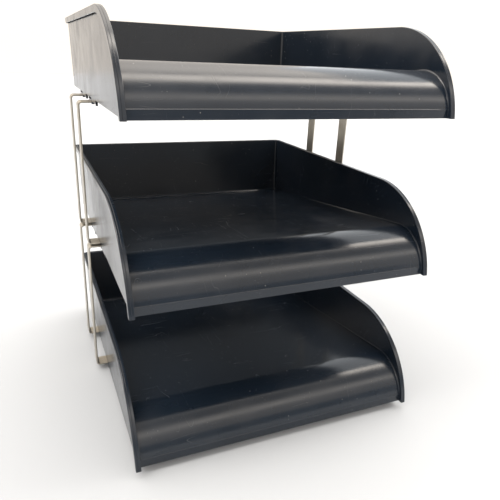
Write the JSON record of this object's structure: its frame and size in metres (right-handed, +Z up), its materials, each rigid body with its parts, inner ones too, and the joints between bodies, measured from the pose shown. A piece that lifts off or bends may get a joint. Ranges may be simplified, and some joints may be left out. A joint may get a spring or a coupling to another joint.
{
  "type": "letter tray",
  "caption": "Tower of moulded letter trays with rolled fronts and inclined floors, carried one above the other on bent steel strip risers, with rubber feet.",
  "frame": {"origin": "middle of the tower's footprint at the height of the resting face of the feet", "axes": "+X to the right seen from the open front, +Y from the open front to the back wall, +Z up"},
  "size_m": [0.282, 0.3213, 0.3508],
  "materials": {
    "tray_plastic": "moulded gloss black with fine handling scratches",
    "riser_steel": "satin nickel-plated strip",
    "foot_rubber": "matte black"
  },
  "bodies": {
    "base": {"tray_bottom": "tray_plastic", "foot_front_left": "foot_rubber", "foot_front_right": "foot_rubber", "foot_rear_left": "foot_rubber", "foot_rear_right": "foot_rubber"},
    "middle": {"tray_middle": "tray_plastic"},
    "top": {"tray_top": "tray_plastic"},
    "lower_left_front": {"riser_lower_left_front": "riser_steel"},
    "lower_left_rear": {"riser_lower_left_rear": "riser_steel"},
    "lower_right_front": {"riser_lower_right_front": "riser_steel"},
    "lower_right_rear": {"riser_lower_right_rear": "riser_steel"},
    "upper_left_front": {"riser_upper_left_front": "riser_steel"},
    "upper_left_rear": {"riser_upper_left_rear": "riser_steel"},
    "upper_right_front": {"riser_upper_right_front": "riser_steel"},
    "upper_right_rear": {"riser_upper_right_rear": "riser_steel"}
  },
  "joints": [
    {"name": "middle_lift", "type": "slide", "parent": "base", "child": "middle", "axis": [0, 0, 1], "range_m": [0, 0.06]},
    {"name": "top_lift", "type": "slide", "parent": "middle", "child": "top", "axis": [0, 0, 1], "range_m": [0, 0.06]},
    {"name": "lower_left_front_pull", "type": "slide", "parent": "base", "child": "lower_left_front", "axis": [-1, 0, 0], "range_m": [0, 0.026]},
    {"name": "lower_left_rear_pull", "type": "slide", "parent": "base", "child": "lower_left_rear", "axis": [-1, 0, 0], "range_m": [0, 0.026]},
    {"name": "lower_right_front_pull", "type": "slide", "parent": "base", "child": "lower_right_front", "axis": [1, 0, 0], "range_m": [0, 0.026]},
    {"name": "lower_right_rear_pull", "type": "slide", "parent": "base", "child": "lower_right_rear", "axis": [1, 0, 0], "range_m": [0, 0.026]},
    {"name": "upper_left_front_pull", "type": "slide", "parent": "middle", "child": "upper_left_front", "axis": [-1, 0, 0], "range_m": [0, 0.026]},
    {"name": "upper_left_rear_pull", "type": "slide", "parent": "middle", "child": "upper_left_rear", "axis": [-1, 0, 0], "range_m": [0, 0.026]},
    {"name": "upper_right_front_pull", "type": "slide", "parent": "middle", "child": "upper_right_front", "axis": [1, 0, 0], "range_m": [0, 0.026]},
    {"name": "upper_right_rear_pull", "type": "slide", "parent": "middle", "child": "upper_right_rear", "axis": [1, 0, 0], "range_m": [0, 0.026]}
  ]
}
